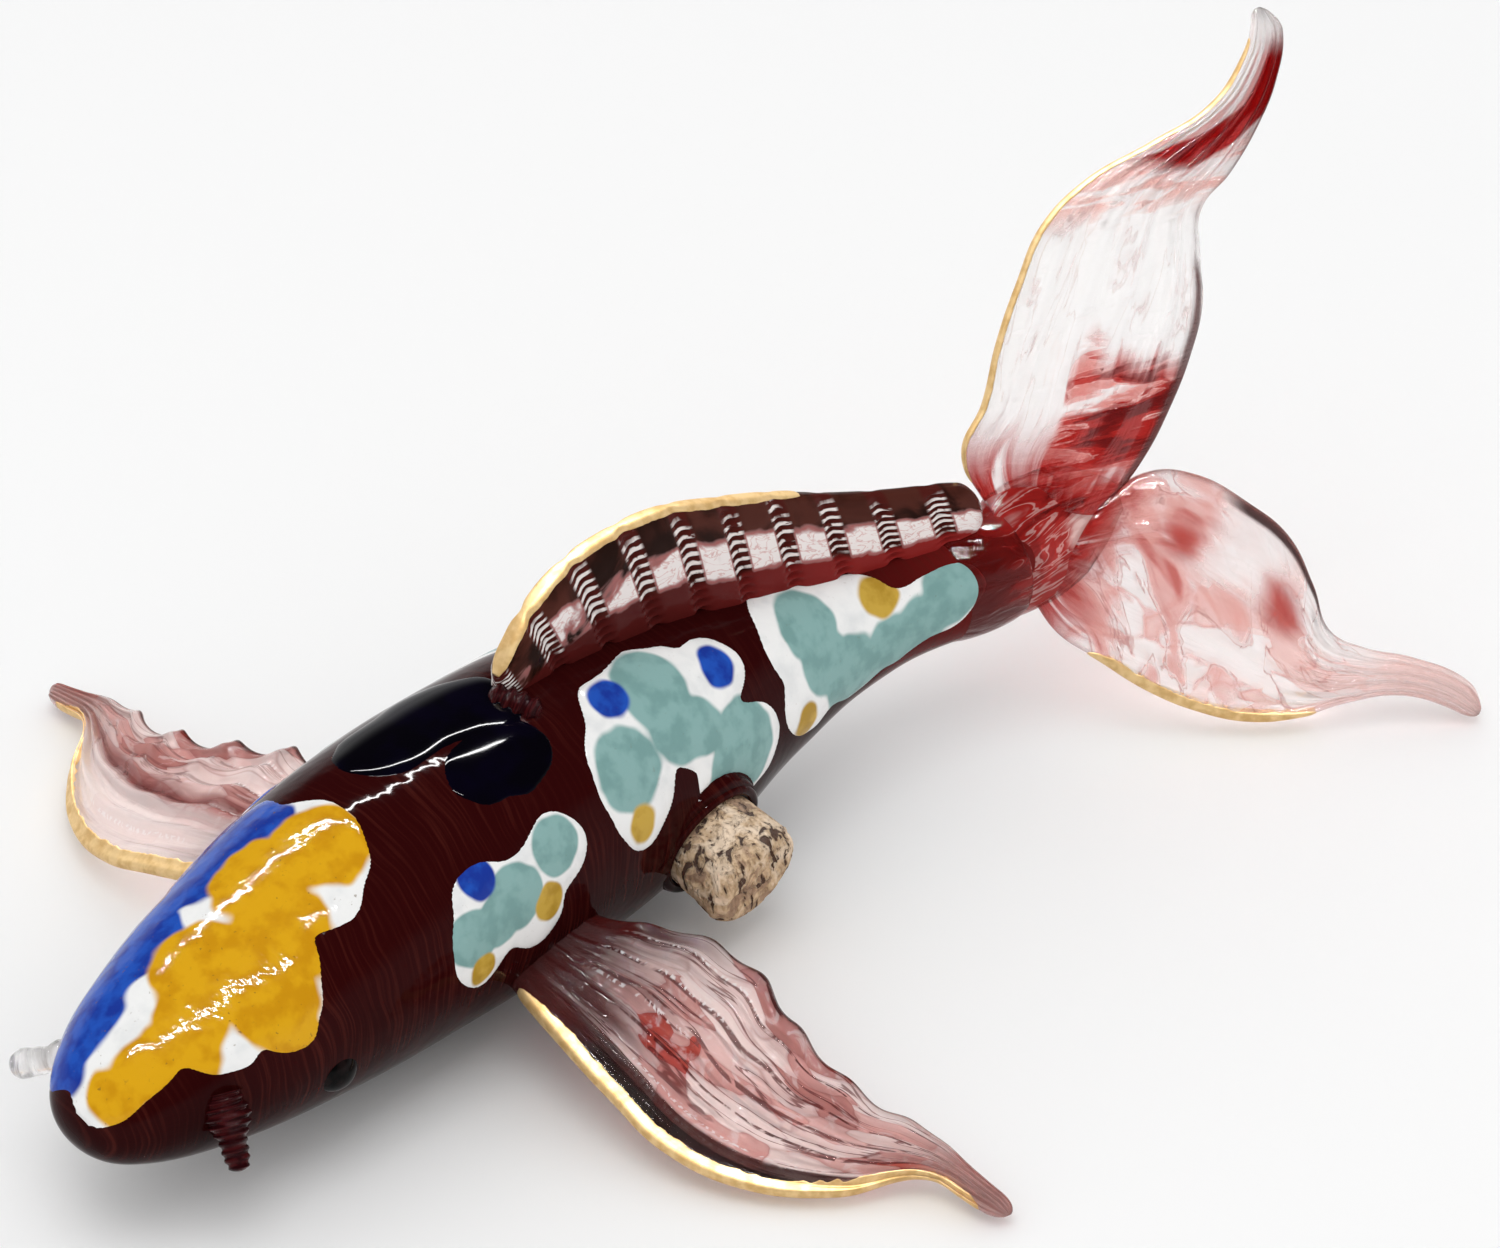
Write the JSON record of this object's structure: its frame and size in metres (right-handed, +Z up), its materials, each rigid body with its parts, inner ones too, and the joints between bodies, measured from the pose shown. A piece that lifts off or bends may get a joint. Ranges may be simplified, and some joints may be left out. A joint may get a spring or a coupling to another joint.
{
  "type": "glass fish figurine",
  "caption": "Hollow blown-glass koi with applied fins, gilded fin edges, fused colour patches and a removable cork in its flank, resting on its belly and fin tips.",
  "frame": {"origin": "centre of the object's footprint box, on the surface that it rests on", "axes": "+Y from nose to tail, +X to the fish's left, +Z up"},
  "size_m": [0.114, 0.1396, 0.0605],
  "materials": {
    "body_glass": "dark red glass with fine rings, glossy",
    "gather_glass": "deep red glass, glossy",
    "fin_glass": "clear rose glass with red streaks, glossy",
    "clear_glass": "clear glass, glossy",
    "eye_glass": "opaque black glass, glossy",
    "ochre_patch": "opaque glass in white, ochre and cobalt, glossy",
    "celadon_patch": "opaque glass in white, celadon, cobalt and ochre, glossy",
    "black_patch": "opaque black glass, glossy",
    "gilding": "fired gold, satin",
    "cork": "natural cork, matt"
  },
  "bodies": {
    "figurine": {"body_shell": "body_glass", "tail_gather": "gather_glass", "tail_lobe_upper": "fin_glass", "tail_lobe_lower": "fin_glass", "dorsal_fin": "fin_glass", "pectoral_fin_left": "fin_glass", "pectoral_fin_right": "fin_glass", "barbel_left": "gather_glass", "barbel_right": "clear_glass", "eye_left": "eye_glass", "eye_right": "eye_glass", "tail_gilding_upper": "gilding", "tail_gilding_lower": "gilding", "dorsal_gilding": "gilding", "pectoral_gilding_left": "gilding", "pectoral_gilding_right": "gilding", "head_patch": "ochre_patch", "back_patch": "black_patch", "back_spot": "black_patch", "cheek_patch_left": "celadon_patch", "flank_patch_left": "celadon_patch", "rear_patch_left": "celadon_patch", "cheek_patch_right": "celadon_patch", "flank_patch_right": "celadon_patch", "rear_patch_right": "celadon_patch"},
    "cork": {"cork_stopper": "cork"}
  },
  "joints": [
    {"name": "cork_pull", "type": "slide", "parent": "figurine", "child": "cork", "axis": [0.9659, 0, -0.2588], "range_m": [0, 0.01]}
  ]
}
